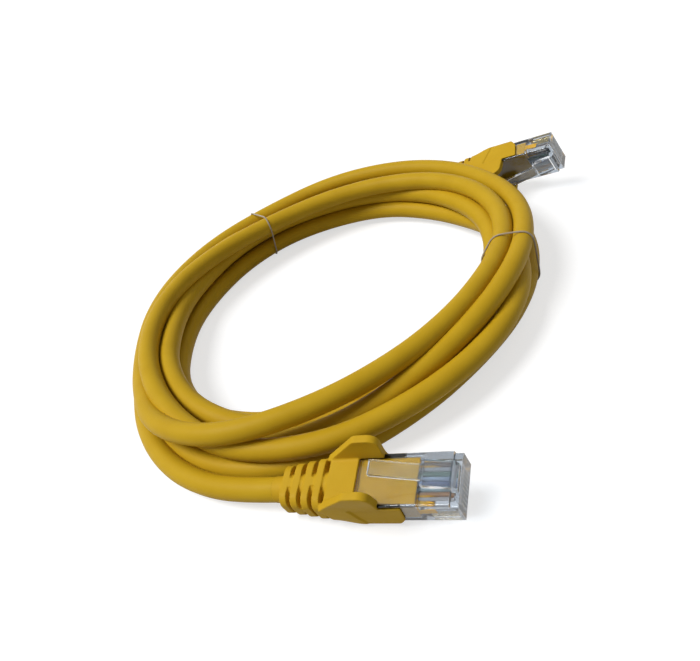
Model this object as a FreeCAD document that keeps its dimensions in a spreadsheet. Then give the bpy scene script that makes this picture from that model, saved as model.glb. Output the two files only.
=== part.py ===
import FreeCAD, Part
import math
import os
import re
import sys
import Sketcher
from FreeCAD import Vector

# Coiled ethernet patch cable: a round jacketed cable with a moulded boot and a clear modular plug at each end.
# Millimetres. +Z is up, Z = 0 is the table that the coil lies on.
# Each plug is built in its own axes: X along the plug with the nose at 0 and the cable at -X,
# Y across it, Z towards the latch, 0 at mid height. The named places put it on the table.

SIZES = [
    ("plug_length", 21.5, "clear housing, nose to back face"),
    ("plug_width", 11.68, "clear housing across the contacts"),
    ("plug_height", 6.6, "clear housing without latch"),
    ("nose_step_length", 1.6, "lowered strip behind the nose, on the latch side"),
    ("nose_step_drop", 0.9, "depth of that strip"),
    ("housing_edge_round", 0.45, "rounding of the long edges"),
    ("wire_diameter", 0.95, "insulated conductor"),
    ("core_diameter", 0.5, "bare copper conductor"),
    ("wire_height", 0.4, "height of the flat wire row"),
    ("wire_setback", 1.3, "nose to the wire ends"),
    ("wire_bend", 2.4, "front of the rear cavity to the wires' first bend"),
    ("wire_clearance", 0.03, "air above and below the wire row"),
    ("contact_pitch", 1.016, "contact to contact"),
    ("contact_thickness", 0.35, "contact blade"),
    ("contact_length", 5.4, "contact blade along the plug"),
    ("contact_setback", 1.2, "nose to the front of a blade"),
    ("contact_recess", 0.4, "blade edge below the housing's contact face"),
    ("contact_clearance", 0.03, "air on each side of a blade"),
    ("prong_width", 0.7, "piercing prong along the plug"),
    ("prong_inset", 0.8, "blade end to its nearer prong"),
    ("prong_rest", 0.07, "prong tip below the wire's middle"),
    ("cavity_front", 8.6, "nose to the front of the rear cavity"),
    ("cavity_width", 10.0, "rear cavity"),
    ("cavity_height", 4.6, "rear cavity"),
    ("finger_length", 2.3, "pointed fingers of the inner mould"),
    ("finger_width", 1.2, "finger at its root"),
    ("finger_height", 1.8, "finger through the height"),
    ("inner_finger_place", 3.0, "middle of the inner fingers from the plug's middle"),
    ("outer_finger_place", 4.3, "middle of the outer fingers from the plug's middle"),
    ("bar_front", 13.5, "nose to the front of the load bar"),
    ("bar_length", 4.0, "load bar along the plug"),
    ("bar_width", 8.0, "load bar across the plug"),
    ("bar_bite", 0.5, "load bar pressed into the inner mould"),
    ("bar_recess", 0.3, "load bar below the contact face"),
    ("hinge_back", 1.5, "nose to the latch's hinge line"),
    ("hinge_height", 4.2, "hinge line above the plug's middle"),
    ("knuckle_radius", 0.5, "hinge end of the latch"),
    ("hinge_clearance", 0.05, "air round the knuckle"),
    ("latch_width", 5.6, "latch at its shoulders and root"),
    ("root_setback", 0.15, "nose to the front of the latch's root"),
    ("lever_width", 3.3, "finger lever"),
    ("lever_thickness", 1.1, "finger lever"),
    ("lever_reach", 16.8, "nose to the lever's free end"),
    ("lever_slope", 0.27, "rise of the lever per length"),
    ("shoulder_reach", 6.9, "nose to the locking shoulders"),
    ("shoulder_depth", 1.7, "height of the locking shoulders"),
    ("boot_reach", 41.5, "nose to the back of the boot"),
    ("boot_wall", 0.6, "boot wall over the housing's sides"),
    ("boot_floor", 1.15, "boot wall under the housing's contact face"),
    ("boot_body_back", 28.0, "nose to the back of the boot's box"),
    ("boot_top", 0.35, "boot's top plate above the housing"),
    ("boot_body_round", 1.4, "rounding of the box's long edges"),
    ("tray_reach", 11.5, "nose to the front of the side arms"),
    ("tray_top", 0.7, "side arms below the housing's latch face"),
    ("tray_slope", 2.4, "slope under the arms' front end"),
    ("tray_lean", 0.5, "arms' front edge leans back by this"),
    ("ear_height", 6.1, "ears above the housing's latch face"),
    ("ear_thickness", 1.8, "ear"),
    ("ear_front", 16.0, "nose to the ears' front edge"),
    ("ear_crest_back", 21.2, "nose to the back of the ears' crest"),
    ("ear_foot_back", 29.2, "nose to the ears' rear foot"),
    ("ear_heel", 1.3, "ears' rear foot runs forward by this below the arms' top"),
    ("ear_round", 2.2, "rounding of the ears' crest"),
    ("rib_first", 29.8, "nose to the middle of the front rib"),
    ("rib_pitch", 2.7, "rib to rib"),
    ("rib_thickness", 1.7, "rib along the cable"),
    ("rib_half_width", 5.8, "front rib, half its width"),
    ("rib_half_width_step", 0.38, "each next rib is narrower by this on each side"),
    ("rib_half_height", 3.9, "front rib, half its height"),
    ("rib_half_height_step", 0.15, "each next rib is lower by this on each side"),
    ("rib_round", 2.4, "corner of a rib"),
    ("web_width", 2.0, "webs that bridge the gaps between ribs"),
    ("web_inset", 0.05, "webs lower than the ribs by this"),
    ("neck_radius", 3.15, "boot at its cable end"),
    ("core_radius", 3.6, "boot's core at its box"),
    ("mould_back", 27.5, "nose to the back of the inner mould"),
    ("mould_back_width", 9.4, "inner mould behind the housing"),
    ("mould_back_height", 6.2, "inner mould behind the housing"),
    ("jacket_front", 26.0, "nose to the cut end of the jacket"),
    ("cable_diameter", 5.4, "jacketed cable"),
    ("pair_spacing", 1.1, "wires side by side where they leave the jacket"),
    ("pair_lift", 0.62, "wire rows above and below the cable's middle"),
    ("lead_straight", 9.0, "cable straight out of a boot"),
    ("coil_centre_x", -30.89, "middle of the coil"),
    ("coil_centre_y", 15.76, "middle of the coil"),
    ("coil_turn", 60.0, "long axis of the oval coil from +X, degrees"),
    ("coil_inner_long", 49.0, "hole of the coil, half its length"),
    ("coil_inner_short", 44.5, "hole of the coil, half its width"),
    ("coil_outer_long", 66.5, "outside of the bundle, half its length"),
    ("coil_outer_short", 60.2, "outside of the bundle, half its width"),
    ("coil_height", 15.6, "bundle of turns"),
    ("coil_round", 5.0, "rounding of the bundle's outline"),
    ("tie_thickness", 0.6, "tie wire"),
    ("tie_width", 0.6, "tie wire along the bundle"),
    ("tie_clearance", 0.3, "air beside the bundle"),
    ("far_tie_angle", 103.3, "far tie, degrees round the coil from +X"),
    ("side_tie_angle", -19.0, "side tie, degrees round the coil from +X"),
    ("end_a_x", -17.17, "nose of plug A"),
    ("end_a_y", -72.97, "nose of plug A"),
    ("end_a_z", 8.02, "nose of plug A"),
    ("end_a_yaw", -27.02, "plug A turned about Z, degrees"),
    ("end_a_pitch", -3.89, "plug A nose down, degrees"),
    ("end_a_roll", 16.2, "plug A rolled about its length, degrees"),
    ("end_b_x", 51.83, "nose of plug B"),
    ("end_b_y", 42.64, "nose of plug B"),
    ("end_b_z", 13.86, "nose of plug B"),
    ("end_b_yaw", -35.81, "plug B turned about Z, degrees"),
    ("end_b_pitch", -11.9, "plug B nose down, degrees"),
    ("end_b_roll", 112.75, "plug B rolled about its length, degrees"),
]

WIRES = 8
RIBS = 4

# How far a cut or a joined block runs past the face that it meets.
OVERRUN = "0.5"

# The stretches of cable between the boots and the coil, as points chosen by hand. Each follows the straight
# stretch at its boot and ends inside the coil.
LEAD_A_POINTS = [
    (-70.6, -43.2, 3.4),
    (-78.2, -34.1, 2.9),
    (-83.7, -23.1, 2.75),
    (-87.2, -11.0, 2.75),
    (-88.4, 1.6, 2.75),
    (-87.0, 14.0, 2.9),
]
LEAD_B_POINTS = [
    (1.0, 76.6, 2.9),
    (-10.2, 79.4, 2.8),
    (-22.2, 79.8, 2.8),
    (-34.2, 77.8, 2.8),
    (-39.5, 75.9, 2.9),
]

ALIASES = {name for name, value, note in SIZES}


def bound(text):
    """The expression text with each size's name turned into its cell."""
    return re.sub(r"[a-z_]+", lambda word: "sizes." + word.group(0) if word.group(0) in ALIASES else word.group(0), text)


class Model:
    """The document, its sheet of sizes and the pieces that are exported."""

    def __init__(self):
        self.doc = FreeCAD.newDocument("patch_cable")
        self.sheet = self.doc.addObject("Spreadsheet::Sheet", "sizes")
        for row, (name, value, note) in enumerate(SIZES, start=1):
            self.sheet.set("A%d" % row, note)
            self.sheet.set("B%d" % row, str(value))
            self.sheet.setAlias("B%d" % row, name)
        self.doc.recompute()
        self.pieces = []

    def size(self, text):
        return float(self.sheet.evalExpression(bound(text).replace("sizes.", "")))

    def add(self, kind, name):
        return self.doc.addObject(kind, name)

    def piece(self, shape_object, label, end=None):
        """Name a finished sub-part and, for a plug's piece, put it at its end of the cable."""
        shape_object.Label = label
        if end:
            place = "placement(vector(end_%s_x; end_%s_y; end_%s_z); rotation(end_%s_yaw; end_%s_pitch; end_%s_roll))"
            shape_object.setExpression("Placement", bound(place % ((end,) * 6)))
        self.pieces.append(shape_object)
        return shape_object

    def box(self, name, x, y, z):
        piece = self.add("Part::Box", name)
        for axis, (low, high), side in zip("xyz", (x, y, z), ("Length", "Width", "Height")):
            piece.setExpression("Placement.Base." + axis, bound(low))
            piece.setExpression(side, bound("(%s) - (%s)" % (high, low)))
        return piece

    def cone(self, name, back, front, back_radius, front_radius):
        """A round cone along X."""
        piece = self.add("Part::Cone", name)
        piece.Placement = FreeCAD.Placement(Vector(), FreeCAD.Rotation(Vector(0, 1, 0), 90))
        piece.setExpression("Placement.Base.x", bound(back))
        piece.setExpression("Height", bound("(%s) - (%s)" % (front, back)))
        piece.setExpression("Radius1", bound(back_radius))
        piece.setExpression("Radius2", bound(front_radius))
        return piece

    def rod(self, name, back, front, radius):
        """A round rod along X, on the plug's axis."""
        piece = self.add("Part::Cylinder", name)
        piece.Placement = FreeCAD.Placement(Vector(), FreeCAD.Rotation(Vector(0, 1, 0), 90))
        piece.setExpression("Placement.Base.x", bound(back))
        piece.setExpression("Height", bound("(%s) - (%s)" % (front, back)))
        piece.setExpression("Radius", bound(radius))
        return piece

    def fuse(self, name, shapes):
        piece = self.add("Part::MultiFuse", name)
        piece.Shapes = shapes
        return piece

    def cut(self, name, base, tools):
        piece = self.add("Part::Cut", name)
        piece.Base = base
        piece.Tool = tools[0] if len(tools) == 1 else self.fuse(name + "_tools", tools)
        return piece

    def rounded(self, name, base, radius, chosen):
        """Round the edges of a shape that the test picks."""
        self.doc.recompute()
        piece = self.add("Part::Fillet", name)
        piece.Base = base
        value = self.size(radius)
        piece.Edges = [(i, value, value) for i, edge in enumerate(base.Shape.Edges, start=1) if chosen(edge)]
        return piece


def along(axis):
    """A test for straight edges that run along one axis."""
    def test(edge):
        if not isinstance(edge.Curve, Part.Line):
            return False
        return edge.Curve.Direction.cross(axis).Length < 1e-6
    return test


def plane_of(body, role):
    return [item for item in body.Origin.OriginFeatures if item.Role == role][0]


def sketch(model, body, name, role, offset="0"):
    """An empty sketch on one of the body's own planes, moved along its normal."""
    drawing = body.newObject("Sketcher::SketchObject", name)
    drawing.AttachmentSupport = [(plane_of(body, role), "")]
    drawing.MapMode = "FlatFace"
    drawing.setExpression("AttachmentOffset.Base.z", bound(offset))
    return drawing


def outline(model, drawing, corners):
    """Add a closed polygon whose corners are all bound to sizes."""
    values = [(model.size(x), model.size(y)) for x, y in corners]
    first = drawing.GeometryCount
    count = len(corners)
    for i in range(count):
        start = Vector(values[i][0], values[i][1], 0)
        stop = Vector(values[(i + 1) % count][0], values[(i + 1) % count][1], 0)
        drawing.addGeometry(Part.LineSegment(start, stop), False)
    for i in range(count):
        drawing.addConstraint(Sketcher.Constraint("Coincident", first + i, 2, first + (i + 1) % count, 1))
    for i in range(count):
        for kind, value, text in zip(("DistanceX", "DistanceY"), values[i], corners[i]):
            number = drawing.addConstraint(Sketcher.Constraint(kind, -1, 1, first + i, 1, value))
            drawing.setExpression("Constraints[%d]" % number, bound(text))


def circle(model, drawing, x, y, radius):
    """Add a full circle whose centre and radius are bound to sizes."""
    number = drawing.addGeometry(
        Part.Circle(Vector(model.size(x), model.size(y), 0), Vector(0, 0, 1), model.size(radius)), False)
    for kind, text in (("DistanceX", x), ("DistanceY", y)):
        constraint = drawing.addConstraint(Sketcher.Constraint(kind, -1, 1, number, 3, model.size(text)))
        drawing.setExpression("Constraints[%d]" % constraint, bound(text))
    constraint = drawing.addConstraint(Sketcher.Constraint("Radius", number, model.size(radius)))
    drawing.setExpression("Constraints[%d]" % constraint, bound(radius))


def pad(body, name, profile, length, both_ways=True):
    feature = body.newObject("PartDesign::Pad", name)
    feature.Profile = profile
    feature.setExpression("Length", bound(length))
    feature.SideType = "Symmetric" if both_ways else "One side"
    return feature


def pocket(body, name, profile, length, both_ways=False, turned=False):
    feature = body.newObject("PartDesign::Pocket", name)
    feature.Profile = profile
    feature.setExpression("Length", bound(length))
    feature.SideType = "Symmetric" if both_ways else "One side"
    feature.Reversed = turned
    return feature


def side_plate(model, name, corners, middle, thickness):
    """A plate drawn in side view, X and Z, and thickened across the plug about the given middle."""
    body = model.add("PartDesign::Body", name)
    model.doc.recompute()
    drawing = sketch(model, body, name + "_outline", "XZ_Plane", "-(%s)" % middle)
    outline(model, drawing, corners)
    pad(body, name + "_pad", drawing, thickness)
    return body


def fillet_body(model, body, name, radius, chosen):
    """Round the chosen straight edges of a body's last feature."""
    model.doc.recompute()
    tip = body.Tip
    feature = body.newObject("PartDesign::Fillet", name)
    feature.Base = (tip, ["Edge%d" % i for i, edge in enumerate(tip.Shape.Edges, start=1) if chosen(edge)])
    feature.setExpression("Radius", bound(radius))
    return feature


def edge_at(x, z, axis=Vector(0, 1, 0)):
    """A test for the edge across the plug that passes the given X and Z."""
    def test(edge):
        middle = edge.CenterOfMass
        return along(axis)(edge) and abs(middle.x - x) < 1e-3 and abs(middle.z - z) < 1e-3
    return test


def wire_place(number):
    """Distance of a wire or contact from the plug's middle line, as text."""
    return "(%.1f) * contact_pitch" % (number - (WIRES - 1) / 2)


def make_housing(model, end):
    """Clear housing: stepped nose, contact slots, wire channel, rear cavity, load bar window and latch root."""
    body = model.add("PartDesign::Body", "housing_" + end)
    model.doc.recompute()
    side = sketch(model, body, "housing_side_" + end, "XZ_Plane")
    outline(model, side, [
        ("-plug_length", "-plug_height / 2"),
        ("0", "-plug_height / 2"),
        ("0", "plug_height / 2 - nose_step_drop"),
        ("-nose_step_length", "plug_height / 2 - nose_step_drop"),
        ("-nose_step_length", "plug_height / 2"),
        ("-plug_length", "plug_height / 2"),
    ])
    pad(body, "housing_block_" + end, side, "plug_width")
    fillet_body(model, body, "housing_edges_" + end, "housing_edge_round", lambda edge: (
        along(Vector(1, 0, 0))(edge) or edge_at(0, -model.size("plug_height") / 2)(edge)))

    root = sketch(model, body, "latch_root_side_" + end, "XZ_Plane")
    outline(model, root, [
        ("-hinge_back", "plug_height / 2 - nose_step_drop - " + OVERRUN),
        ("-root_setback", "plug_height / 2 - nose_step_drop - " + OVERRUN),
        ("-root_setback", "hinge_height - knuckle_radius"),
        ("-hinge_back / 2", "hinge_height + knuckle_radius + hinge_clearance"),
        ("-hinge_back", "hinge_height + knuckle_radius + hinge_clearance"),
    ])
    pad(body, "latch_root_" + end, root, "latch_width")
    knuckle = sketch(model, body, "knuckle_recess_outline_" + end, "XZ_Plane")
    circle(model, knuckle, "-hinge_back", "hinge_height", "knuckle_radius + hinge_clearance")
    pocket(body, "knuckle_recess_" + end, knuckle, "plug_width", both_ways=True)

    cavity = sketch(model, body, "cavity_outline_" + end, "YZ_Plane", "-plug_length")
    outline(model, cavity, [
        ("-cavity_width / 2", "-cavity_height / 2"),
        ("cavity_width / 2", "-cavity_height / 2"),
        ("cavity_width / 2", "cavity_height / 2"),
        ("-cavity_width / 2", "cavity_height / 2"),
    ])
    pocket(body, "cavity_" + end, cavity, "plug_length - cavity_front", turned=True)

    channel = sketch(model, body, "channel_outline_" + end, "YZ_Plane", "-cavity_front - " + OVERRUN)
    half = "(%.1f * contact_pitch + wire_diameter / 2 + wire_clearance)" % ((WIRES - 1) / 2)
    half_height = "(wire_diameter / 2 + wire_clearance)"
    outline(model, channel, [
        ("-" + half, "wire_height - " + half_height),
        (half, "wire_height - " + half_height),
        (half, "wire_height + " + half_height),
        ("-" + half, "wire_height + " + half_height),
    ])
    pocket(body, "wire_channel_" + end, channel, "cavity_front - wire_setback + " + OVERRUN, turned=True)

    fingers = sketch(model, body, "finger_outline_" + end, "XY_Plane")
    for middle in finger_places():
        outline(model, fingers, [
            ("-cavity_front - " + OVERRUN, middle + " - finger_width / 2"),
            ("-cavity_front", middle + " - finger_width / 2"),
            ("-cavity_front + finger_length", middle),
            ("-cavity_front", middle + " + finger_width / 2"),
            ("-cavity_front - " + OVERRUN, middle + " + finger_width / 2"),
        ])
    pocket(body, "finger_pockets_" + end, fingers, "finger_height", both_ways=True)

    window = sketch(model, body, "window_outline_" + end, "XY_Plane", "-plug_height / 2")
    outline(model, window, [
        ("-bar_front - bar_length", "-bar_width / 2"),
        ("-bar_front", "-bar_width / 2"),
        ("-bar_front", "bar_width / 2"),
        ("-bar_front - bar_length", "bar_width / 2"),
    ])
    pocket(body, "bar_window_" + end, window, "plug_height / 2", turned=True)

    slot = sketch(model, body, "contact_slot_outline_" + end, "XY_Plane", "-plug_height / 2")
    slot_half = "(contact_thickness / 2 + contact_clearance)"
    outline(model, slot, [
        ("-contact_setback - contact_length - contact_clearance", wire_place(0) + " - " + slot_half),
        ("-contact_setback + contact_clearance", wire_place(0) + " - " + slot_half),
        ("-contact_setback + contact_clearance", wire_place(0) + " + " + slot_half),
        ("-contact_setback - contact_length - contact_clearance", wire_place(0) + " + " + slot_half),
    ])
    cut = pocket(body, "contact_slot_" + end, slot, "plug_height / 2 + wire_height", turned=True)
    row = body.newObject("PartDesign::LinearPattern", "contact_slots_" + end)
    row.Originals = [cut]
    row.Direction = (plane_of(body, "Y_Axis"), [""])
    row.setExpression("Length", bound("%d * contact_pitch" % (WIRES - 1)))
    row.Occurrences = WIRES
    body.Tip = row
    return model.piece(body, "plug_housing_" + end, end)


def finger_places():
    return ["-outer_finger_place", "-inner_finger_place", "inner_finger_place", "outer_finger_place"]


def make_latch(model, end):
    """Sprung latch: knuckle on the hinge line, wide locking shoulders and a narrower finger lever."""
    body = model.add("PartDesign::Body", "latch_body_" + end)
    model.doc.recompute()
    rise = "(hinge_height + lever_slope * ((%s) - hinge_back))"
    lever = sketch(model, body, "lever_side_" + end, "XZ_Plane")
    outline(model, lever, [
        ("-hinge_back", "hinge_height - knuckle_radius"),
        ("-hinge_back", "hinge_height + knuckle_radius"),
        ("-lever_reach", rise % "lever_reach" + " + lever_thickness / 2"),
        ("-lever_reach", rise % "lever_reach" + " - lever_thickness / 2"),
    ])
    pad(body, "lever_" + end, lever, "lever_width")
    shoulder = sketch(model, body, "shoulder_side_" + end, "XZ_Plane")
    top = rise % "shoulder_reach" + " + lever_thickness / 2"
    outline(model, shoulder, [
        ("-hinge_back", "hinge_height - knuckle_radius"),
        ("-hinge_back", "hinge_height + knuckle_radius"),
        ("-shoulder_reach", top),
        ("-shoulder_reach", top + " - shoulder_depth"),
    ])
    pad(body, "shoulders_" + end, shoulder, "latch_width")
    knuckle = sketch(model, body, "knuckle_outline_" + end, "XZ_Plane")
    circle(model, knuckle, "-hinge_back", "hinge_height", "knuckle_radius")
    pad(body, "knuckle_" + end, knuckle, "latch_width")
    return model.piece(body, "latch_" + end, end)


def make_load_bar(model, end):
    """Clear bar, pressed through its window on the contact side to grip the inner mould."""
    low = "-plug_height / 2 + bar_recess"
    high = "-cavity_height / 2 + bar_bite"
    bar = side_plate(model, "load_bar_body_" + end, [
        ("-bar_front - bar_length", low),
        ("-bar_front", low),
        ("-bar_front", high),
        ("-bar_front - bar_length", high),
    ], "0", "bar_width")
    return model.piece(bar, "load_bar_" + end, end)


def blade_front(inset):
    return "(-contact_setback - (%s))" % inset


def prongs():
    """Front and back of each piercing prong, as text."""
    front = "prong_inset"
    back = "contact_length - prong_inset - prong_width"
    return [(blade_front(inset + " + prong_width"), blade_front(inset)) for inset in (front, back)]


def make_contact(model, end, number):
    """Gold-plated contact blade with two prongs that pierce its wire."""
    body = model.add("PartDesign::Body", "contact_body_%d_%s" % (number + 1, end))
    model.doc.recompute()
    drawing = sketch(model, body, "contact_side_%d_%s" % (number + 1, end), "XZ_Plane", "-(%s)" % wire_place(number))
    outer = "-plug_height / 2 + contact_recess"
    seat = "wire_height - wire_diameter / 2"
    tip = "wire_height - prong_rest"
    (front_back, front_front), (rear_back, rear_front) = prongs()
    outline(model, drawing, [
        (blade_front("contact_length"), outer),
        (blade_front("0"), outer),
        (blade_front("0"), seat),
        (front_front, seat),
        (front_front, tip),
        (front_back, tip),
        (front_back, seat),
        (rear_front, seat),
        (rear_front, tip),
        (rear_back, tip),
        (rear_back, seat),
        (blade_front("contact_length"), seat),
    ])
    pad(body, "contact_blade_%d_%s" % (number + 1, end), drawing, "contact_thickness")
    return model.piece(body, "contact_%d_%s" % (number + 1, end), end)


def prong_notches(model, end, number, name):
    """The room that a contact's prongs take in its wire."""
    middle = wire_place(number)
    return [
        model.box(
            "%s_notch_%d_%d_%s" % (name, turn, number + 1, end),
            place,
            (middle + " - contact_thickness / 2", middle + " + contact_thickness / 2"),
            ("wire_height - wire_diameter", "wire_height - prong_rest"))
        for turn, place in enumerate(prongs(), start=1)
    ]


def wire_path(model, number, setback):
    """A wire's middle line: flat row at the nose, then two rows of four where the jacket ends."""
    row = model.size(wire_place(number))
    inner = (number // 2 - 1.5) * model.size("pair_spacing")
    level = model.size("pair_lift") * (1 if number % 2 else -1)
    height = model.size("wire_height")
    front = -setback
    bend = -model.size("cavity_front + wire_bend")
    back = -model.size("jacket_front")
    third = (back - bend) / 3
    return [
        Vector(front, row, height),
        Vector(bend, row, height),
        Vector(bend + third, row, level),
        Vector(back - third / 2, inner, level),
        Vector(back, inner, level),
    ]


def rounded_path(points, report=None):
    """Straight runs with tangent arcs, each arc as large as its two runs allow."""
    edges = []
    start = points[0]
    for before, corner, after in zip(points, points[1:], points[2:]):
        inward = (corner - before).normalize()
        outward = (after - corner).normalize()
        turn = inward.getAngle(outward)
        reach = 0.45 * min((corner - before).Length, (after - corner).Length)
        radius = reach / math.tan(turn / 2)
        if report:
            print("%s: turn %.1f degrees, radius %.1f mm" % (report, math.degrees(turn), radius))
        arc_start = corner - inward * reach
        arc_stop = corner + outward * reach
        bisector = (outward - inward).normalize()
        middle = corner + bisector * (radius / math.cos(turn / 2) - radius)
        edges.append(Part.LineSegment(start, arc_start).toShape())
        edges.append(Part.Arc(arc_start, middle, arc_stop).toShape())
        start = arc_stop
    edges.append(Part.LineSegment(start, points[-1]).toShape())
    return Part.Wire(edges)


def tube(path, points, radius):
    """A round solid along a path."""
    ring = Part.Wire([Part.makeCircle(radius, points[0], points[1] - points[0])])
    return path.makePipeShell([ring], True, True)


def shape_feature(model, name, shape):
    feature = model.add("Part::Feature", name)
    feature.Shape = shape
    return feature


def make_wires(model, end):
    """Eight insulated wires with their copper cores. Returns their outlines for the mould's bores."""
    outlines = []
    cores = []
    notches = []
    for number in range(WIRES):
        points = wire_path(model, number, model.size("wire_setback"))
        path = rounded_path(points)
        whole = tube(path, points, model.size("wire_diameter / 2"))
        whole = shape_feature(model, "wire_outline_%d_%s" % (number + 1, end), whole)
        core = tube(path, points, model.size("core_diameter / 2"))
        core = shape_feature(model, "core_outline_%d_%s" % (number + 1, end), core)
        own = prong_notches(model, end, number, "wire")
        sleeve = model.cut("wire_sleeve_%d_%s" % (number + 1, end), whole, [core])
        wire = model.cut("wire_cut_%d_%s" % (number + 1, end), sleeve, own)
        model.piece(wire, "wire_%d_%s" % (number + 1, end), end)
        outlines.append(whole)
        cores.append(core)
        notches += prong_notches(model, end, number, "core")
    copper = model.cut("copper_" + end, model.fuse("cores_" + end, cores), notches)
    model.piece(copper, "copper_cores_" + end, end)
    return outlines


def make_inner_mould(model, end, wires):
    """Moulded filling that locks wires and jacket in the housing, with pointed fingers between the wires."""
    front = model.box(
        "mould_front_" + end,
        ("-plug_length", "-cavity_front"),
        ("-cavity_width / 2", "cavity_width / 2"),
        ("-cavity_height / 2", "cavity_height / 2"))
    back = model.box(
        "mould_back_" + end,
        ("-mould_back", "-plug_length"),
        ("-mould_back_width / 2", "mould_back_width / 2"),
        ("-mould_back_height / 2", "mould_back_height / 2"))
    fingers = []
    for turn, middle in enumerate(finger_places(), start=1):
        finger = model.add("PartDesign::Body", "mould_finger_%d_%s" % (turn, end))
        model.doc.recompute()
        drawing = sketch(model, finger, "mould_finger_outline_%d_%s" % (turn, end), "XY_Plane")
        outline(model, drawing, [
            ("-cavity_front - " + OVERRUN, middle + " - finger_width / 2"),
            ("-cavity_front", middle + " - finger_width / 2"),
            ("-cavity_front + finger_length", middle),
            ("-cavity_front", middle + " + finger_width / 2"),
            ("-cavity_front - " + OVERRUN, middle + " + finger_width / 2"),
        ])
        pad(finger, "mould_finger_pad_%d_%s" % (turn, end), drawing, "finger_height")
        fingers.append(finger)
    whole = model.fuse("mould_whole_" + end, [front, back] + fingers)
    bar = model.box(
        "bar_notch_" + end,
        ("-bar_front - bar_length", "-bar_front"),
        ("-bar_width / 2", "bar_width / 2"),
        ("-plug_height / 2", "-cavity_height / 2 + bar_bite"))
    bore = model.rod("jacket_bore_" + end, "-mould_back - " + OVERRUN, "-jacket_front", "cable_diameter / 2")
    mould = model.cut("mould_" + end, whole, [bar, bore] + wires)
    return model.piece(mould, "inner_mould_" + end, end)


def make_boot(model, end):
    """Moulded boot: box with a tray round the housing, two latch ears, and a ribbed strain relief."""
    half = "(plug_width / 2 + boot_wall)"
    low = "(-plug_height / 2 - boot_floor)"
    block = model.box(
        "boot_block_" + end,
        ("-boot_body_back", "-plug_length"),
        ("-" + half, half),
        (low, "plug_height / 2 + boot_top"))
    block = model.rounded("boot_body_" + end, block, "boot_body_round", lambda edge: (
        along(Vector(1, 0, 0))(edge) and edge.CenterOfMass.z < 0))
    tray = side_plate(model, "boot_tray_" + end, [
        ("-plug_length - " + OVERRUN, low),
        ("-tray_reach - tray_slope", low),
        ("-tray_reach - tray_lean", low + " + tray_slope"),
        ("-tray_reach", "plug_height / 2 - tray_top"),
        ("-plug_length - " + OVERRUN, "plug_height / 2 - tray_top"),
    ], "0", "2 * " + half)
    fillet_body(model, tray, "tray_edges_" + end, "boot_body_round", lambda edge: (
        along(Vector(1, 0, 0))(edge) and edge.CenterOfMass.z < 0))
    parts = [block, tray]
    for side, sign in (("left", "1"), ("right", "-1")):
        middle = "%s * (%s - ear_thickness / 2)" % (sign, half)
        ear = side_plate(model, "ear_%s_%s" % (side, end), [
            ("-ear_foot_back + ear_heel", "0"),
            ("-ear_front", "0"),
            ("-ear_front", "plug_height / 2 + ear_height"),
            ("-ear_crest_back", "plug_height / 2 + ear_height"),
            ("-ear_foot_back", "plug_height / 2 - tray_top"),
        ], middle, "ear_thickness")
        crest = model.size("plug_height / 2 + ear_height")
        corners = [-model.size("ear_front"), -model.size("ear_crest_back")]
        fillet_body(model, ear, "ear_crest_%s_%s" % (side, end), "ear_round", lambda edge: any(
            edge_at(x, crest)(edge) for x in corners))
        parts.append(ear)
    parts.append(model.cone("boot_core_" + end, "-boot_reach", "-boot_body_back", "neck_radius", "core_radius"))
    for number in range(RIBS):
        middle = "(-rib_first - %d * rib_pitch)" % number
        wide = "(rib_half_width - %d * rib_half_width_step)" % number
        tall = "(rib_half_height - %d * rib_half_height_step)" % number
        rib = model.box(
            "rib_block_%d_%s" % (number + 1, end),
            (middle + " - rib_thickness / 2", middle + " + rib_thickness / 2"),
            ("-" + wide, wide),
            ("-" + tall, tall))
        parts.append(model.rounded("rib_%d_%s" % (number + 1, end), rib, "rib_round", along(Vector(1, 0, 0))))
        gap = (middle, middle + " + rib_pitch")
        if number % 2:
            web = model.box(
                "web_%d_%s" % (number + 1, end), gap,
                ("-web_width / 2", "web_width / 2"), ("-%s + web_inset" % tall, "%s - web_inset" % tall))
        else:
            web = model.box(
                "web_%d_%s" % (number + 1, end), gap,
                ("-%s + web_inset" % wide, "%s - web_inset" % wide), ("-web_width / 2", "web_width / 2"))
        parts.append(web)
    whole = model.fuse("boot_whole_" + end, parts)
    room = model.box(
        "housing_room_" + end,
        ("-plug_length", "0"),
        ("-plug_width / 2", "plug_width / 2"),
        ("-plug_height / 2", "plug_height / 2"))
    open_top = model.box(
        "open_top_" + end,
        ("-plug_length", "0"),
        ("-%s + ear_thickness" % half, "%s - ear_thickness" % half),
        ("plug_height / 2", "plug_height / 2 + ear_height + " + OVERRUN))
    mould_room = model.box(
        "mould_room_" + end,
        ("-mould_back", "-plug_length"),
        ("-mould_back_width / 2", "mould_back_width / 2"),
        ("-mould_back_height / 2", "mould_back_height / 2"))
    bore = model.rod("cable_bore_" + end, "-boot_reach - " + OVERRUN, "-mould_back + " + OVERRUN, "cable_diameter / 2")
    boot = model.cut("boot_cut_" + end, whole, [room, open_top, mould_room, bore])
    return model.piece(boot, "boot_" + end, end)


def make_cable_end(model, end):
    """The stretch of jacketed cable that the boot and the inner mould grip."""
    body = model.add("PartDesign::Body", "cable_end_body_" + end)
    model.doc.recompute()
    section = sketch(model, body, "cable_end_section_" + end, "YZ_Plane", "-boot_reach")
    circle(model, section, "0", "0", "cable_diameter / 2")
    pad(body, "cable_end_rod_" + end, section, "boot_reach - jacket_front", both_ways=False)
    return model.piece(body, "cable_end_" + end, end)


def end_placement(model, end):
    values = [model.size("end_%s_%s" % (end, name)) for name in ("x", "y", "z", "yaw", "pitch", "roll")]
    return FreeCAD.Placement(Vector(*values[:3]), FreeCAD.Rotation(*values[3:]))


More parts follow.
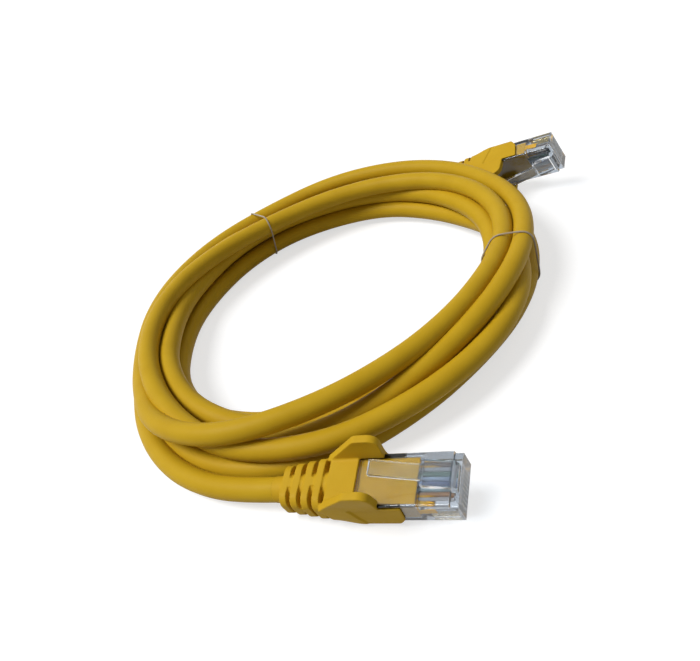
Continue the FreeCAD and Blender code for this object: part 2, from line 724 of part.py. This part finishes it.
def cord_tube(points, diameter, label):
    """A length of cable, with its volume compared to its length."""
    path = rounded_path(points, label)
    solid = tube(path, points, diameter / 2)
    expected = math.pi * diameter ** 2 / 4 * path.Length
    print("%s: length %.1f mm, volume %.0f of %.0f mm3" % (label, path.Length, solid.Volume, expected))
    if abs(solid.Volume / expected - 1) > 0.01:
        sys.exit("The tube of %s has the wrong volume" % label)
    return solid


def make_lead(model, end, listed):
    """The cable from the back of a boot to the coil."""
    placement = end_placement(model, end)
    reaches = ("boot_reach", "boot_reach + lead_straight")
    straight = [placement.multVec(Vector(-model.size(reach), 0, 0)) for reach in reaches]
    points = straight + [Vector(*point) for point in listed]
    solid = cord_tube(points, model.size("cable_diameter"), "cable_lead_" + end)
    return model.piece(shape_feature(model, "lead_tube_" + end, solid), "cable_lead_" + end)


def oval(model, name, side):
    """A solid oval as high as the coil."""
    ellipse = model.add("Part::Ellipse", name + "_line")
    ellipse.setExpression("MajorRadius", bound("coil_%s_long" % side))
    ellipse.setExpression("MinorRadius", bound("coil_%s_short" % side))
    solid = model.add("Part::Extrusion", name)
    solid.Base = ellipse
    solid.DirMode = "Custom"
    solid.Dir = Vector(0, 0, 1)
    solid.Solid = True
    solid.setExpression("LengthFwd", bound("coil_height"))
    return solid


def make_coil(model):
    """The outer shape of the coiled turns, an oval ring with rounded edges."""
    ring = model.cut("coil_ring", oval(model, "coil_outside", "outer"), [oval(model, "coil_hole", "inner")])
    coil = model.rounded("coil_rounded", ring, "coil_round", lambda edge: not isinstance(edge.Curve, Part.Line))
    place = "placement(vector(coil_centre_x; coil_centre_y; tie_thickness); rotation(coil_turn; 0; 0))"
    coil.setExpression("Placement", bound(place))
    return model.piece(coil, "cable_coil")


def reach_of(side, angle):
    """Distance from the coil's middle to one of its ovals at an angle, as text."""
    text = "(coil_{0}_long * coil_{0}_short / sqrt((coil_{0}_short * cos({1} - coil_turn))^2"
    text += " + (coil_{0}_long * sin({1} - coil_turn))^2))"
    return text.format(side, angle)


def make_tie(model, name, angle):
    """A wire tie bent round the bundle, rounded where the bundle is."""
    inner = "(%s - tie_clearance)" % reach_of("inner", angle)
    outer = "(%s + tie_clearance)" % reach_of("outer", angle)
    top = "(tie_thickness + coil_height)"
    outside = model.box(
        name + "_outside",
        (inner + " - tie_thickness", outer + " + tie_thickness"),
        ("-tie_width / 2", "tie_width / 2"),
        ("0", top + " + tie_thickness"))
    inside = model.box(
        name + "_inside",
        (inner, outer),
        ("-tie_width", "tie_width"),
        ("tie_thickness", top))
    across = along(Vector(0, 1, 0))
    outside = model.rounded(name + "_outside_round", outside, "coil_round + tie_thickness", across)
    inside = model.rounded(name + "_inside_round", inside, "coil_round", across)
    band = model.cut(name + "_band", outside, [inside])
    place = "placement(vector(coil_centre_x; coil_centre_y; 0); rotation(%s; 0; 0))"
    band.setExpression("Placement", bound(place % angle))
    return model.piece(band, name)


def make_end(model, end):
    make_housing(model, end)
    make_latch(model, end)
    make_load_bar(model, end)
    for number in range(WIRES):
        make_contact(model, end, number)
    wires = make_wires(model, end)
    make_inner_mould(model, end, wires)
    make_boot(model, end)
    make_cable_end(model, end)


def check(model):
    """Stop on any failed object and on any sub-part without a sound shape."""
    failed = [item.Name for item in model.doc.Objects if "Invalid" in item.State or "Error" in item.State]
    if failed:
        sys.exit("These objects failed: " + ", ".join(failed))
    for piece in model.pieces:
        if piece.Shape.isNull() or not piece.Shape.isValid() or not piece.Shape.Solids:
            sys.exit("%s has no sound shape" % piece.Label)


def main():
    model = Model()
    for end in ("a", "b"):
        make_end(model, end)
    make_lead(model, "a", LEAD_A_POINTS)
    make_lead(model, "b", LEAD_B_POINTS)
    make_coil(model)
    make_tie(model, "tie_far", "far_tie_angle")
    make_tie(model, "tie_side", "side_tie_angle")
    model.doc.recompute()
    check(model)
    os.makedirs("parts", exist_ok=True)
    for piece in model.pieces:
        piece.Shape.exportStep(os.path.join("parts", piece.Label + ".step"))
        box = piece.Shape.BoundBox
        print("%-16s %d solids %9.2f mm3  x %.1f %.1f  y %.1f %.1f  z %.2f %.2f" % (
            piece.Label, len(piece.Shape.Solids), piece.Shape.Volume,
            box.XMin, box.XMax, box.YMin, box.YMax, box.ZMin, box.ZMax))


main()
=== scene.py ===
import math

import bmesh
import bpy
from mathutils import Matrix, Vector, geometry


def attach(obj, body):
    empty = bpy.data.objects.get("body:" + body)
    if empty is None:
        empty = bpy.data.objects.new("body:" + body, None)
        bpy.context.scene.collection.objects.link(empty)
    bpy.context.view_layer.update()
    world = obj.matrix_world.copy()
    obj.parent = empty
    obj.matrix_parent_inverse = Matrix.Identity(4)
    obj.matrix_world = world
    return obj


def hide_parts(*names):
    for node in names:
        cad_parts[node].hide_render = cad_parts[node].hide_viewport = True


# Coiled yellow ethernet patch cable with a clear modular plug and a ribbed boot at each end.
# Places are written in millimetres in the part's own frame and turned into metres by MM.
MM = 0.001

CORD_DIAMETER = 5.5
BOOT_REACH = 41.5
LEAD_STRAIGHT = 9.0

# Steps of the cable along and around, for each point of its route.
CORD_STEPS = 8
CORD_ROUND_STEPS = 8

# Finish of the moulded pieces: mesh size and rounds of smoothing of the soft ones, broken edges of the clear
# ones, and how far each lies back from the piece that it touches.
BOOT_GRAIN = 0.18
BOOT_ROUNDS = 5
INSERT_GRAIN = 0.2
INSERT_ROUNDS = 3
CLEAR_EDGE = 0.1
CLEAR_EDGE_STEPS = 2
FLAT_ANGLE = 1
SHARP_ANGLE = 40
TOUCH_GAP = 0.03
WELD = 0.001

# The boot's ears, box, neck and lower arms in the plug's own axes. A ramp is how far one takes to start.
EAR_FOOT = 3.0
EAR_CREST = 9.4
EAR_LEAN = 0.6
EAR_DROP = 0.4
BOX_TAPER_START = 21.0
BOX_END = 28.0
BOX_TAPER_STOP = 28.7
BOX_FLOOR = 4.4
BOX_TAPER = 1.1
BOX_SIDE_SHARE = 0.5
BOX_RAMP = 0.6
NECK_START = 39.1
NECK_RAMP = 0.5
NECK_THINNER = 0.8
ARM_RECESS = 0.32
ARM_SIDE = 6.0
ARM_BACK = 21.9
ARM_BACK_SLOPE = 0.34
ARM_TOP = 2.7
ARM_RAMP = 0.15
ARM_TOP_RAMP = 0.2
ARM_SIDE_RAMP = 0.3

# The insert's pointed fingers in the plug's own axes.
FINGER_ROOT = 8.6
FINGER_STRETCH = 1.9

# The wire ties: where they go round the bundle, the wire, and how its loop is divided and eased.
TIE_CENTRE = (-30.89, 15.76)
TIE_RADIUS = 0.25
TIE_ROUND_STEPS = 3
TIE_STEPS = 24
TIE_STEP = 0.5
TIE_ROUNDS = 10
TIE_SLACK = 0.12
FAR_TIE_ANGLE = 104.8
SIDE_TIE_ANGLE = -19.0

# Floor and light. A sun's direction is the way towards it.
FLOOR_HALF = 3.0
FLOOR_GREY = 0.44
FLOOR_GLOW = 0.66
WORLD_LIGHT = 0.22
KEY_SUN = {"towards": (-0.55, -0.05, 0.83), "spread": 28.0, "strength": 2.75}
FILL_SUN = {"towards": (0.55, 0.30, 0.78), "spread": 40.0, "strength": 0.15}

# Plastics and metals. A noise is used between its low and high marks. A satin plastic's roughness goes from
# a little below its value to a little above. Then come how strongly it mirrors, the scale of its colour
# patches, the depth of its grain in metres, how clear plastic bends light, and the haze and scratch scales.
NOISE_LOW = 0.3
NOISE_HIGH = 0.7
SMOOTHER = 0.05
ROUGHER = 0.07
SATIN_SHINE = 0.12
COLOUR_PATCHES = 120.0
GRAIN_DEPTH = 0.00005
CLEAR_INDEX = 1.49
HAZE_SCALE = 700.0
SCRATCH_SCALE = 1500.0

# Each plug's nose, and how the plug is turned: yaw, nose up and roll, in degrees.
PLUGS = {
    "a": {"nose": (-17.17, -72.97, 8.02), "yaw": -27.02, "rise": 3.89, "roll": 16.2},
    "b": {"nose": (51.83, 42.64, 13.86), "yaw": -35.81, "rise": 11.9, "roll": 112.75},
}

# The cable between the boots and the coil, each list starting at its boot.
LEAD_A_POINTS = [
    (-70.6, -43.2, 3.4),
    (-78.2, -34.1, 2.9),
    (-83.7, -23.1, 2.75),
    (-87.2, -11.0, 2.75),
    (-88.6, 1.6, 2.75),
    (-89.0, 11.0, 2.75),
]
LEAD_B_POINTS = [
    (10.8, 71.8, 3.4),
    (1.0, 77.2, 2.9),
    (-10.2, 80.8, 2.8),
    (-22.2, 82.0, 3.2),
    (-34.2, 80.8, 5.0),
    (-46.2, 77.0, 6.6),
]

# The coil's middle line, clockwise from the left in steps of 20 degrees, one row for each turn: distance
# from the coil's middle, and height. The values come from a fit of the whole bundle to points read along its
# strands in the photograph, rounded to half a millimetre. Stretches that other strands hide are guessed.
COIL_CENTRE = (-29.39, 18.36)
COIL_STEP = 20
COIL_TURNS = [
    [(59, 2.75), (57.5, 2.75), (57, 3), (57, 2.75), (57.5, 2.75), (58.5, 2.75),
     (60.5, 2.75), (62, 2.75), (61.5, 2.75), (59, 3), (56, 3), (55, 3.5),
     (56, 4), (60.5, 4), (66.5, 3), (68.5, 2.75), (64.5, 2.75), (58, 2.75)],
    [(53.5, 2.75), (52, 3.5), (52, 4.5), (53.5, 6.5), (56, 8), (58, 8.5),
     (58.5, 7.5), (58, 6), (56.5, 4), (54, 2.75), (51, 2.75), (50, 2.75),
     (51, 3), (53.5, 3.5), (56, 4.5), (57.5, 6), (55.5, 8), (51.5, 10)],
    [(47.5, 10), (47, 9.5), (48, 9), (49.5, 10), (51, 10), (53, 9.5),
     (53.5, 9.5), (52.5, 9.5), (50, 10), (48.5, 10.5), (47.5, 9.5), (47, 8),
     (47.5, 6.5), (48.5, 5), (51, 3.5), (53, 3), (53.5, 2.75), (51, 3)],
    [(47.5, 2.75), (46.5, 3), (47, 3), (49, 3.5), (51, 4), (52, 4),
     (52, 4.5), (51, 4), (50.5, 4.5), (51.5, 7), (54, 8), (57, 8.5),
     (60, 8.5), (64, 9), (67.5, 8), (67, 8), (61.5, 10), (56.5, 12.5)],
    [(52.5, 13.5), (49.5, 14), (47, 14), (45.5, 13.5), (46.5, 13), (48.5, 13.5),
     (51, 14), (53, 14.5), (53.5, 14.5), (52.5, 14), (50.5, 13.5), (49, 14),
     (50.5, 14), (54.5, 14), (61.5, 14.5), (68, 13.5), (66.5, 10.5), (60, 8)],
    [(57, 7.5), (58, 8), (60.5, 8), (64, 8), (66, 8.5), (67, 11),
     (66, 12.5), (64, 13), (61, 13), (58.5, 13.5), (56, 13.5), (54.5, 13.5),
     (55, 12), (57.5, 9.5), (61, 6), (62.5, 4.5), (59.5, 4.5), (55, 6.5)],
    [(52, 8), (52.5, 8.5), (55.5, 9), (58.5, 8)],
]


def plug_matrix(end):
    """From a plug's own millimetres, X towards the nose and Z towards the latch, to the part's metres."""
    plug = PLUGS[end]
    turn = Matrix.Rotation(math.radians(plug["yaw"]), 4, "Z")
    turn = turn @ Matrix.Rotation(math.radians(-plug["rise"]), 4, "Y")
    turn = turn @ Matrix.Rotation(math.radians(plug["roll"]), 4, "X")
    return Matrix.Scale(MM, 4) @ Matrix.Translation(plug["nose"]) @ turn


# Camera

CAMERA_PLACE = (-28.39, -176.118, 115.855)
CAMERA_TILT = 57.30
CAMERA_ROLL = -18.82
CAMERA_LENS = 39.03
CAMERA_SENSOR = 36.0
CAMERA_NEAR = 0.01


def make_camera():
    data = bpy.data.cameras.new("camera")
    data.lens = CAMERA_LENS
    data.sensor_width = CAMERA_SENSOR
    data.sensor_fit = "HORIZONTAL"
    data.clip_start = CAMERA_NEAR
    camera = bpy.data.objects.new("camera", data)
    turn = Matrix.Rotation(math.radians(CAMERA_TILT), 4, "X")
    turn = turn @ Matrix.Rotation(math.radians(CAMERA_ROLL), 4, "Z")
    camera.matrix_world = Matrix.Translation(Vector(CAMERA_PLACE) * MM) @ turn
    bpy.context.scene.collection.objects.link(camera)
    bpy.context.scene.camera = camera


# Cord

def coil_points():
    """The coil's turns as control points. They stand out a little, because the line runs inside them."""
    spread = 1 / (0.75 + 0.25 * math.cos(math.radians(COIL_STEP)))
    points = []
    for turn, row in enumerate(COIL_TURNS):
        for step, (radius, height) in enumerate(row):
            angle = math.radians(180 - 360 * turn - COIL_STEP * step)
            x = COIL_CENTRE[0] + radius * spread * math.cos(angle)
            y = COIL_CENTRE[1] + radius * spread * math.sin(angle)
            points.append((x, y, height))
    return points


def cord_route():
    """The whole cable from boot A to boot B, in metres."""
    ends = {}
    for end in PLUGS:
        place = plug_matrix(end)
        ends[end] = [place @ Vector((-reach, 0, 0)) for reach in (BOOT_REACH, BOOT_REACH + LEAD_STRAIGHT)]
    middle = LEAD_A_POINTS + coil_points() + LEAD_B_POINTS[::-1]
    return ends["a"] + [Vector(point) * MM for point in middle] + ends["b"][::-1]


def make_cord(material):
    data = bpy.data.curves.new("patch_cord", "CURVE")
    data.dimensions = "3D"
    data.bevel_depth = CORD_DIAMETER / 2 * MM
    data.bevel_resolution = CORD_ROUND_STEPS
    data.resolution_u = CORD_STEPS
    route = cord_route()
    spline = data.splines.new("NURBS")
    spline.points.add(len(route) - 1)
    for point, place in zip(spline.points, route):
        point.co = (*place, 1.0)
    spline.order_u = 3
    spline.use_endpoint_u = True
    data.materials.append(material)
    cord = bpy.data.objects.new("patch_cord", data)
    bpy.context.scene.collection.objects.link(cord)
    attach(cord, "cable")
    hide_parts("cable_coil", "cable_lead_a", "cable_lead_b")
    return cord, route


# Pieces made from the frame's own shapes

def on_body(name, mesh, body, material, *nodes):
    """Place a finished mesh as a piece that rides on a body and stands for the nodes."""
    mesh.materials.clear()
    mesh.materials.append(material)
    piece = bpy.data.objects.new(name, mesh)
    bpy.context.scene.collection.objects.link(piece)
    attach(piece, body)
    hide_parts(*nodes)
    return piece


def welded(node):
    """A welded copy of a node's mesh."""
    work = bmesh.new()
    work.from_mesh(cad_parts[node].data)
    bmesh.ops.remove_doubles(work, verts=work.verts, dist=WELD * MM)
    return work


def moulded_shape(node, end, grain, rounds):
    """A node's shape with the soft edges of a moulding, in the plug's own axes and in metres."""
    work = welded(node)
    bmesh.ops.transform(work, matrix=Matrix.Scale(MM, 4) @ plug_matrix(end).inverted(), verts=work.verts)
    mesh = bpy.data.meshes.new(node + "_draft")
    work.to_mesh(mesh)
    work.free()
    draft = bpy.data.objects.new(node + "_draft", mesh)
    bpy.context.scene.collection.objects.link(draft)
    remesh = draft.modifiers.new("remesh", "REMESH")
    remesh.mode = "VOXEL"
    remesh.voxel_size = grain * MM
    smooth = draft.modifiers.new("smooth", "SMOOTH")
    smooth.factor = 0.5
    smooth.iterations = rounds
    seen = draft.evaluated_get(bpy.context.evaluated_depsgraph_get())
    shape = bpy.data.meshes.new_from_object(seen)
    bpy.data.objects.remove(draft)
    work = bmesh.new()
    work.from_mesh(shape)
    bpy.data.meshes.remove(shape)
    return work


def set_back(work, depth):
    """Move every face inwards, so that it lies clear of the piece that it touches."""
    work.normal_update()
    for vert in work.verts:
        vert.co -= vert.normal * depth * MM


def put_on_cable(work, end):
    """From a plug's own axes to its place at its end of the cable, none of it below the floor."""
    bmesh.ops.transform(work, matrix=plug_matrix(end) @ Matrix.Scale(1 / MM, 4), verts=work.verts)
    for vert in work.verts:
        vert.co.z = max(vert.co.z, 0.0)


def finished(work, name, smooth=True):
    mesh = bpy.data.meshes.new(name)
    work.to_mesh(mesh)
    work.free()
    for face in mesh.polygons:
        face.use_smooth = smooth
    return mesh


def eased(value, low, high):
    """0 below low, 1 above high, and a smooth rise between them."""
    share = min(max((value - low) / (high - low), 0.0), 1.0)
    return share * share * (3 - 2 * share)


def shape_boot(work):
    """Lean the latch ears outwards, draw the box and the neck in, and set the lower arms back a little."""
    for vert in work.verts:
        point = vert.co / MM
        ear = eased(point.z, EAR_FOOT, EAR_CREST)
        side = math.copysign(1.0, point.y)
        rear = eased(-point.x, BOX_TAPER_START, BOX_END) * eased(BOX_TAPER_STOP + point.x, 0.0, BOX_RAMP)
        below = eased(-point.z, 0.0, BOX_FLOOR)
        point.y += side * EAR_LEAN * ear
        point.z -= EAR_DROP * ear
        point.z += BOX_TAPER * rear * below
        point.y -= side * BOX_TAPER * BOX_SIDE_SHARE * rear * below
        thinner = 1 - NECK_THINNER * eased(-point.x, NECK_START - NECK_RAMP, NECK_START)
        radius = math.hypot(point.y, point.z)
        if radius > CORD_DIAMETER / 2:
            share = (CORD_DIAMETER / 2 + (radius - CORD_DIAMETER / 2) * thinner) / radius
            point.y *= share
            point.z *= share
        arm = eased(point.x + ARM_BACK + ARM_BACK_SLOPE * point.z, -ARM_RAMP, ARM_RAMP)
        arm = arm * eased(ARM_TOP - point.z, 0.0, ARM_TOP_RAMP)
        point.y -= side * ARM_RECESS * arm * eased(abs(point.y), ARM_SIDE, ARM_SIDE + ARM_SIDE_RAMP)
        vert.co = point * MM


def make_boot(end, material):
    work = moulded_shape("boot_" + end, end, BOOT_GRAIN, BOOT_ROUNDS)
    shape_boot(work)
    set_back(work, TOUCH_GAP)
    put_on_cable(work, end)
    name = "soft_boot_" + end
    return on_body(name, finished(work, name), "cable", material, "boot_" + end)


def shape_insert(work):
    """Draw the pointed fingers out along the plug."""
    for vert in work.verts:
        past = vert.co.x + FINGER_ROOT * MM
        if past > 0:
            vert.co.x += past * (FINGER_STRETCH - 1)


def make_insert(end, material):
    work = moulded_shape("inner_mould_" + end, end, INSERT_GRAIN, INSERT_ROUNDS)
    shape_insert(work)
    set_back(work, TOUCH_GAP)
    put_on_cable(work, end)
    name = "soft_insert_" + end
    return on_body(name, finished(work, name), "cable", material, "inner_mould_" + end)


def make_clear(node, body, material):
    """A clear piece with its edges slightly broken, so that they catch the light."""
    work = welded(node)
    bmesh.ops.dissolve_limit(work, angle_limit=math.radians(FLAT_ANGLE), verts=work.verts, edges=work.edges)
    work.normal_update()
    steep = math.radians(SHARP_ANGLE)
    sharp = [edge for edge in work.edges if edge.is_manifold and edge.calc_face_angle() > steep]
    bmesh.ops.bevel(work, geom=sharp, offset=CLEAR_EDGE * MM, offset_type="OFFSET",
                    segments=CLEAR_EDGE_STEPS, profile=0.5, affect="EDGES", clamp_overlap=True, material=-1)
    set_back(work, TOUCH_GAP)
    bmesh.ops.triangulate(work, faces=work.faces)
    name = "clear_" + node
    return on_body(name, finished(work, name, smooth=False), body, material, node)


# Ties

def cord_line(cord):
    """Points along the cable's middle, in metres."""
    data = cord.data.copy()
    data.bevel_depth = 0
    line = bpy.data.objects.new("cord_line", data)
    bpy.context.scene.collection.objects.link(line)
    seen = line.evaluated_get(bpy.context.evaluated_depsgraph_get())
    mesh = bpy.data.meshes.new_from_object(seen)
    points = [vert.co.copy() for vert in mesh.vertices]
    bpy.data.objects.remove(line)
    return points


def strands_at(points, angle):
    """Where the cable passes the upright plane at an angle round the bundle: distance out and height."""
    middle = Vector((*TIE_CENTRE, 0)) * MM
    out = Vector((math.cos(math.radians(angle)), math.sin(math.radians(angle)), 0))
    across = Vector((-out.y, out.x, 0))
    found = []
    for first, second in zip(points, points[1:]):
        before = (first - middle).dot(across)
        after = (second - middle).dot(across)
        if before * after > 0 or (first - middle).dot(out) < 0:
            continue
        share = before / (before - after) if before != after else 0.0
        meet = first.lerp(second, share) - middle
        found.append((meet.dot(out), meet.z))
    return found


def rounded_loop(corners):
    """A closed loop through the corners in even short steps, its bends eased as a springy wire has them."""
    loop = []
    for first, second in zip(corners, corners[1:] + corners[:1]):
        steps = max(1, round(math.dist(first, second) / (TIE_STEP * MM)))
        for step in range(steps):
            share = step / steps
            loop.append([a + (b - a) * share for a, b in zip(first, second)])
    for _ in range(TIE_ROUNDS):
        before = loop[-1:] + loop[:-1]
        after = loop[1:] + loop[:1]
        loop = [[(a + 2 * b + c) / 4 for a, b, c in zip(*near)] for near in zip(before, loop, after)]
    return loop


def make_tie(name, angle, points, node, material):
    """A thin wire pulled round all the strands of the bundle."""
    reach = (CORD_DIAMETER / 2 + TIE_RADIUS + TIE_SLACK) * MM
    rim = []
    for distance, height in strands_at(points, angle):
        for step in range(TIE_STEPS):
            turn = 2 * math.pi * step / TIE_STEPS
            rim.append((distance + reach * math.cos(turn), height + reach * math.sin(turn)))
    hull = rounded_loop([rim[index] for index in geometry.convex_hull_2d(rim)])
    middle = Vector((*TIE_CENTRE, 0)) * MM
    out = Vector((math.cos(math.radians(angle)), math.sin(math.radians(angle)), 0))
    data = bpy.data.curves.new(name, "CURVE")
    data.dimensions = "3D"
    data.bevel_depth = TIE_RADIUS * MM
    data.bevel_resolution = TIE_ROUND_STEPS
    spline = data.splines.new("POLY")
    spline.points.add(len(hull) - 1)
    for point, (distance, height) in zip(spline.points, hull):
        place = middle + out * distance
        place.z = max(height, TIE_RADIUS * MM)
        point.co = (*place, 1.0)
    spline.use_cyclic_u = True
    data.materials.append(material)
    piece = bpy.data.objects.new(name, data)
    bpy.context.scene.collection.objects.link(piece)
    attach(piece, "cable")
    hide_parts(node)
    return piece


# Materials

def new_material(name):
    material = bpy.data.materials.new(name)
    material.use_nodes = True
    return material, material.node_tree.nodes, material.node_tree.links


def noise(nodes, links, scale, detail):
    """A noise on the piece's own coordinates."""
    place = nodes.new("ShaderNodeTexCoord")
    cloud = nodes.new("ShaderNodeTexNoise")
    cloud.inputs["Scale"].default_value = scale
    cloud.inputs["Detail"].default_value = detail
    links.new(place.outputs["Object"], cloud.inputs["Vector"])
    return cloud.outputs["Fac"]


def between(nodes, links, factor, low, high):
    """A number that follows a noise from low to high."""
    spread = nodes.new("ShaderNodeMapRange")
    spread.inputs["From Min"].default_value = NOISE_LOW
    spread.inputs["From Max"].default_value = NOISE_HIGH
    spread.inputs["To Min"].default_value = low
    spread.inputs["To Max"].default_value = high
    links.new(factor, spread.inputs["Value"])
    return spread.outputs["Result"]


def moulded(name, colour, darker, roughness, grain, relief):
    """Satin plastic: a faint colour variation, uneven gloss and a fine grain in its surface."""
    material, nodes, links = new_material(name)
    shader = nodes["Principled BSDF"]
    shader.inputs["Specular IOR Level"].default_value = SATIN_SHINE
    cloud = noise(nodes, links, COLOUR_PATCHES, 4.0)
    blend = nodes.new("ShaderNodeMix")
    blend.data_type = "RGBA"
    blend.inputs["A"].default_value = (*colour, 1)
    blend.inputs["B"].default_value = (*darker, 1)
    fine = noise(nodes, links, grain, 2.0)
    bump = nodes.new("ShaderNodeBump")
    bump.inputs["Strength"].default_value = relief
    bump.inputs["Distance"].default_value = GRAIN_DEPTH
    links.new(between(nodes, links, cloud, 0.0, 1.0), blend.inputs["Factor"])
    links.new(blend.outputs["Result"], shader.inputs["Base Color"])
    gloss = between(nodes, links, fine, roughness - SMOOTHER, roughness + ROUGHER)
    links.new(gloss, shader.inputs["Roughness"])
    links.new(fine, bump.inputs["Height"])
    links.new(bump.outputs["Normal"], shader.inputs["Normal"])
    return material


def clear_plastic(name, tint, roughness, let_through):
    """Clear plastic with a slight haze, which lamps shine through."""
    material, nodes, links = new_material(name)
    shader = nodes["Principled BSDF"]
    shader.inputs["Base Color"].default_value = (*tint, 1)
    shader.inputs["Transmission Weight"].default_value = 1.0
    shader.inputs["IOR"].default_value = CLEAR_INDEX
    haze = noise(nodes, links, HAZE_SCALE, 2.0)
    links.new(between(nodes, links, haze, roughness, roughness * 2), shader.inputs["Roughness"])
    path = nodes.new("ShaderNodeLightPath")
    through = nodes.new("ShaderNodeBsdfTransparent")
    through.inputs["Color"].default_value = (*let_through, 1)
    either = nodes.new("ShaderNodeMixShader")
    links.new(path.outputs["Is Shadow Ray"], either.inputs["Fac"])
    links.new(shader.outputs["BSDF"], either.inputs[1])
    links.new(through.outputs["BSDF"], either.inputs[2])
    links.new(either.outputs["Shader"], nodes["Material Output"].inputs["Surface"])
    return material


def metal(name, colour, roughness):
    material, nodes, links = new_material(name)
    shader = nodes["Principled BSDF"]
    shader.inputs["Base Color"].default_value = (*colour, 1)
    shader.inputs["Metallic"].default_value = 1.0
    scratch = noise(nodes, links, SCRATCH_SCALE, 2.0)
    links.new(between(nodes, links, scratch, roughness, roughness * 1.6), shader.inputs["Roughness"])
    return material


WIRE_COLOURS = [
    (0.56, 0.48, 0.42), (0.52, 0.26, 0.12), (0.46, 0.52, 0.48), (0.13, 0.18, 0.30),
    (0.42, 0.47, 0.53), (0.12, 0.22, 0.15), (0.48, 0.44, 0.41), (0.18, 0.12, 0.09),
]


def dress(node, material):
    """Give a node of the frame its material."""
    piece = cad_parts[node]
    piece.data.materials.clear()
    piece.data.materials.append(material)
    return piece


# Floor and light

def seen_direct(nodes, links):
    """1 for a ray that comes from the camera, straight or by way of gloss or clear plastic."""
    path = nodes.new("ShaderNodeLightPath")
    value = path.outputs["Is Camera Ray"]
    for kind in ("Is Glossy Ray", "Is Transmission Ray"):
        larger = nodes.new("ShaderNodeMath")
        larger.operation = "MAXIMUM"
        links.new(value, larger.inputs[0])
        links.new(path.outputs[kind], larger.inputs[1])
        value = larger.outputs["Value"]
    return value


def scaled(nodes, links, value, factor, added=0.0):
    step = nodes.new("ShaderNodeMath")
    step.operation = "MULTIPLY_ADD"
    links.new(value, step.inputs[0])
    step.inputs[1].default_value = factor
    step.inputs[2].default_value = added
    return step.outputs["Value"]


def make_floor():
    """A pale floor that the camera sees brighter than it shines on the cable. It keeps the shadow."""
    floor = bmesh.new()
    bmesh.ops.create_grid(floor, x_segments=1, y_segments=1, size=FLOOR_HALF)
    mesh = bpy.data.meshes.new("floor")
    floor.to_mesh(mesh)
    floor.free()
    material, nodes, links = new_material("floor")
    shader = nodes["Principled BSDF"]
    shader.inputs["Base Color"].default_value = (FLOOR_GREY, FLOOR_GREY, FLOOR_GREY, 1)
    shader.inputs["Roughness"].default_value = 1.0
    shader.inputs["Specular IOR Level"].default_value = 0.0
    shader.inputs["Emission Color"].default_value = (1, 1, 1, 1)
    glow = scaled(nodes, links, seen_direct(nodes, links), FLOOR_GLOW)
    links.new(glow, shader.inputs["Emission Strength"])
    mesh.materials.append(material)
    piece = bpy.data.objects.new("floor", mesh)
    bpy.context.scene.collection.objects.link(piece)


def make_sun(name, towards, spread, strength):
    """A soft lamp far away. It lights the floor evenly to its edge."""
    data = bpy.data.lights.new(name, "SUN")
    data.angle = math.radians(spread)
    data.energy = strength
    light = bpy.data.objects.new(name, data)
    light.rotation_euler = Vector(towards).to_track_quat("Z", "Y").to_euler()
    bpy.context.scene.collection.objects.link(light)


def make_world():
    world = bpy.data.worlds.new("studio")
    world.use_nodes = True
    nodes = world.node_tree.nodes
    links = world.node_tree.links
    sky = nodes["Background"]
    sky.inputs["Color"].default_value = (1, 1, 1, 1)
    strength = scaled(nodes, links, seen_direct(nodes, links), 1 - WORLD_LIGHT, WORLD_LIGHT)
    links.new(strength, sky.inputs["Strength"])
    bpy.context.scene.world = world


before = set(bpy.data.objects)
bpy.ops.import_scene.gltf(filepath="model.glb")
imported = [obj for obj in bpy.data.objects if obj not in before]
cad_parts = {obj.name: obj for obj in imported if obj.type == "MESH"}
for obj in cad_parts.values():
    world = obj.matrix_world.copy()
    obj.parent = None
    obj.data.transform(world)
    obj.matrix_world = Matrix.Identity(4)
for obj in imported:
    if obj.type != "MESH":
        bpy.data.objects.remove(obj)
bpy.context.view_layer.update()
bpy.context.scene.view_settings.view_transform = "Standard"
make_camera()

jacket = moulded("jacket", (0.55, 0.345, 0.014), (0.51, 0.312, 0.010), 0.52, 2500.0, 0.15)
boot = moulded("boot", (0.57, 0.350, 0.016), (0.53, 0.318, 0.012), 0.56, 3500.0, 0.3)
# The insert's orange is partly painted light: brighter than the real insert, to make up for the light that
# the tinted clear housing takes from it.
mould = moulded("mould", (0.86, 0.435, 0.004), (0.80, 0.390, 0.003), 0.45, 2000.0, 0.1)
# The housing's grey-blue tint is partly painted shade: the plastic's faint blue cast, made darker and greyer
# than the plastic is to stand in for dark surroundings seen through it.
clear = clear_plastic("clear_plastic", (0.42, 0.47, 0.53), 0.08, (0.85, 0.88, 0.91))
clear_thin = clear_plastic("clear_latch", (0.86, 0.89, 0.92), 0.06, (0.92, 0.94, 0.95))
gold = metal("gold", (0.83, 0.56, 0.20), 0.2)
copper = metal("copper", (0.72, 0.35, 0.20), 0.3)
tie = moulded("tie_wire", (0.42, 0.36, 0.27), (0.36, 0.29, 0.20), 0.3, 3000.0, 0.1)
wires = [moulded("wire_%d" % number, colour, [0.85 * part for part in colour], 0.4, 3000.0, 0.1)
         for number, colour in enumerate(WIRE_COLOURS, start=1)]

cord, route = make_cord(jacket)

plug_pieces = {}
for end in PLUGS:
    plug_pieces[end] = [
        make_boot(end, boot),
        make_insert(end, mould),
        make_clear("plug_housing_" + end, "cable", clear),
        make_clear("latch_" + end, "latch_" + end, clear_thin),
        dress("load_bar_" + end, clear),
        dress("cable_end_" + end, jacket),
        dress("copper_cores_" + end, copper),
    ]
    for number, material in enumerate(wires, start=1):
        plug_pieces[end].append(dress("wire_%d_%s" % (number, end), material))
        plug_pieces[end].append(dress("contact_%d_%s" % (number, end), gold))

line = cord_line(cord)
make_tie("tie_wire_far", FAR_TIE_ANGLE, line, "tie_far", tie)
make_tie("tie_wire_side", SIDE_TIE_ANGLE, line, "tie_side", tie)

make_floor()
make_sun("key", **KEY_SUN)
make_sun("fill", **FILL_SUN)
make_world()
